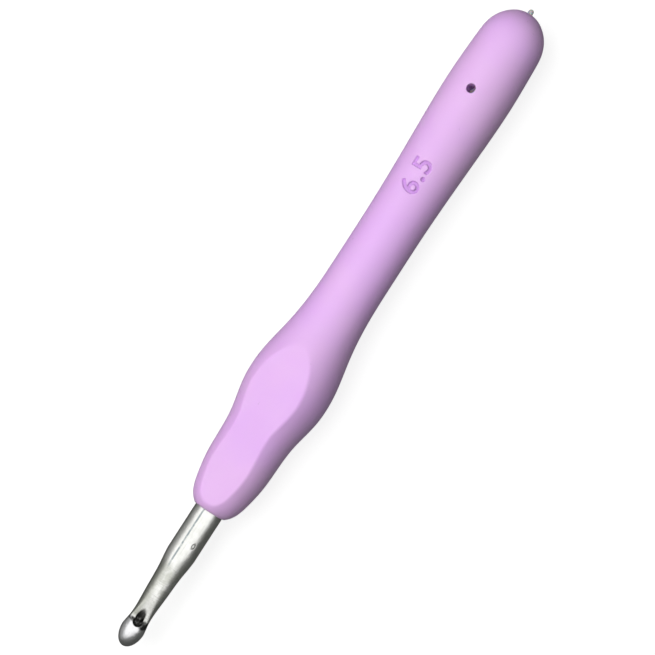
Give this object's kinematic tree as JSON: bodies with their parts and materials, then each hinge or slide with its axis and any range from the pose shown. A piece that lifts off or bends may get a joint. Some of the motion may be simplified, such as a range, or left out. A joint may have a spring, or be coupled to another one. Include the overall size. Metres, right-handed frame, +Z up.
{
  "type": "crochet hook",
  "caption": "Aluminium crochet hook, 6.5 mm, with a slim contoured soft rubber grip, flat thumb rests and a rigid core that holds the tang.",
  "frame": {"origin": "midway along the object, on the surface that it lies on", "axes": "+X along the axis towards the hook's tip, +Z up, out of the thumb rest (the hook's mouth opens 15 degrees from +Z towards +Y), +Y to the left of someone who looks along +X"},
  "size_m": [0.16, 0.0188, 0.0165],
  "materials": {
    "satin_aluminium": "satin, fine lengthwise drawing marks, light tarnish in the mouth",
    "natural_plastic": "natural, slightly translucent, unpolished",
    "soft_lilac_rubber": "matt soft-touch rubber, fine moulded texture"
  },
  "bodies": {
    "root": {"hook": "satin_aluminium", "handle_core": "natural_plastic", "grip": "soft_lilac_rubber"}
  },
  "joints": []
}
